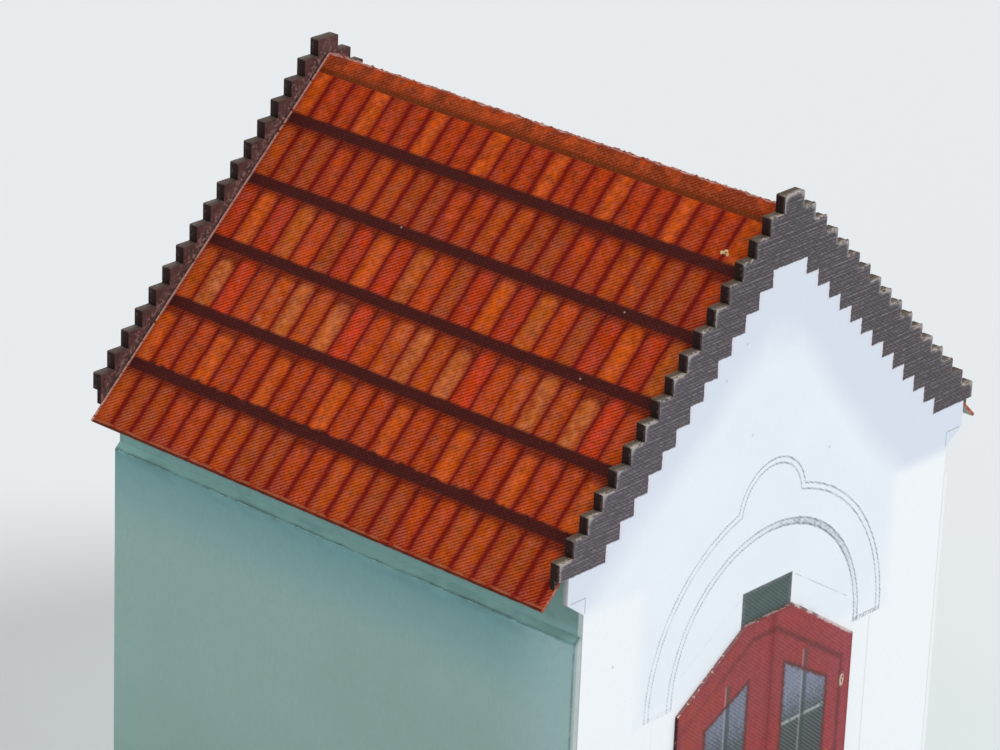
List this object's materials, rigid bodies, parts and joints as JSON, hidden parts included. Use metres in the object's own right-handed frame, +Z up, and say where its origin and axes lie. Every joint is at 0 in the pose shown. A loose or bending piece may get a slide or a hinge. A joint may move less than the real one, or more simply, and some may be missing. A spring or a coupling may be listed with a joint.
{
  "type": "card model chapel",
  "caption": "Small printed-card model of a wayside chapel with stepped gables, a folded tile-printed roof and a raised double-door panel.",
  "frame": {"origin": "on the ground, in the middle of the model's outer box", "axes": "+X to the right seen from the door, +Y from the door to the back, +Z up"},
  "size_m": [0.0502, 0.0472, 0.0584],
  "materials": {
    "grey_card": "matt cut card",
    "printed_front": "matt printed paper, white with a slate-grey stepped border",
    "printed_back": "matt printed paper, white with a slate-grey stepped border",
    "wall_card": "matt white card",
    "wall_facing": "matt white card",
    "printed_tiles": "matt paper printed with orange and brown tiles",
    "slate_lining": "matt card with a dark brown print",
    "printed_door": "matt card with a red print",
    "glue_flap": "matt white paper"
  },
  "bodies": {
    "root": {"front_gable_card": "grey_card", "front_gable_sheet": "printed_front", "back_gable_card": "grey_card", "back_gable_sheet": "printed_back", "left_wall_card": "wall_card", "right_wall_card": "wall_card", "left_wall_facing": "wall_facing", "right_wall_facing": "wall_facing", "roof_sheet": "printed_tiles", "front_left_lining": "slate_lining", "front_right_lining": "slate_lining", "back_left_lining": "slate_lining", "back_right_lining": "slate_lining", "door_panel": "printed_door", "front_left_corner_flap": "glue_flap", "front_right_corner_flap": "glue_flap", "back_left_corner_flap": "glue_flap", "back_right_corner_flap": "glue_flap", "left_eave_flap": "glue_flap", "right_eave_flap": "glue_flap", "front_left_verge_flap": "glue_flap", "front_right_verge_flap": "glue_flap", "back_left_verge_flap": "glue_flap", "back_right_verge_flap": "glue_flap"}
  },
  "joints": []
}
